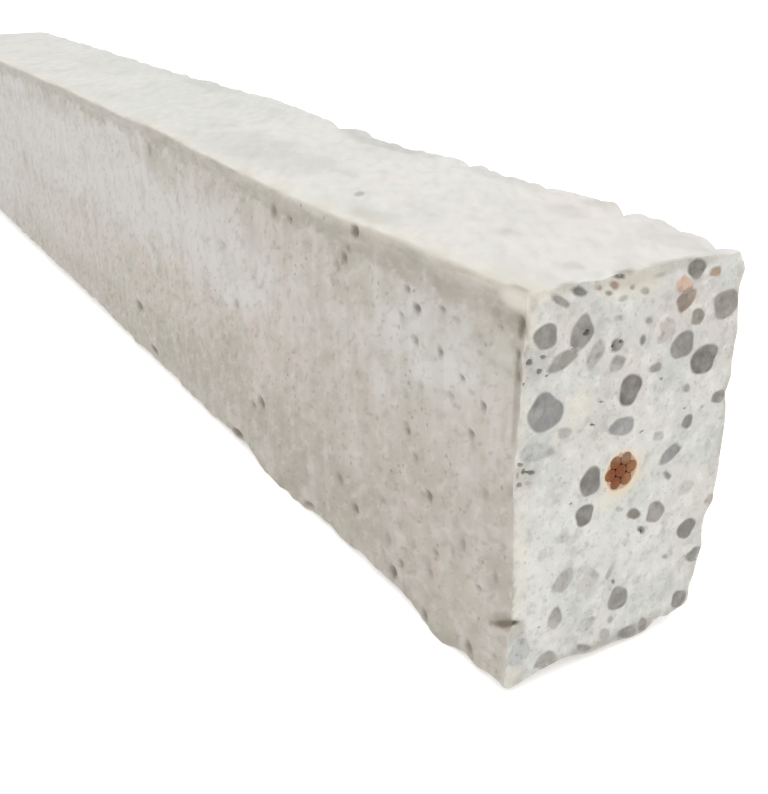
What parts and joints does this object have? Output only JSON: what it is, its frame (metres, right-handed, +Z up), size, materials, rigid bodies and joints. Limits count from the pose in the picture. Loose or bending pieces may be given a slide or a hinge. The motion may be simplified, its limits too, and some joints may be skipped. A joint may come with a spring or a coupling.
{
  "type": "concrete lintel",
  "caption": "Prestressed concrete lintel, a straight cast beam with sawn ends, that carries masonry over a door or window opening.",
  "frame": {"origin": "middle of the underside, as the beam stands on its narrow face", "axes": "+X along the beam towards one sawn end, +Y across it to the side whose foot draws in, +Z up"},
  "size_m": [0.6, 0.065, 0.1],
  "materials": {
    "concrete": "matte",
    "strand_steel": "matte"
  },
  "bodies": {
    "root": {"concrete_body": "concrete", "strand_king_wire": "strand_steel", "strand_outer_wires": "strand_steel"}
  },
  "joints": []
}
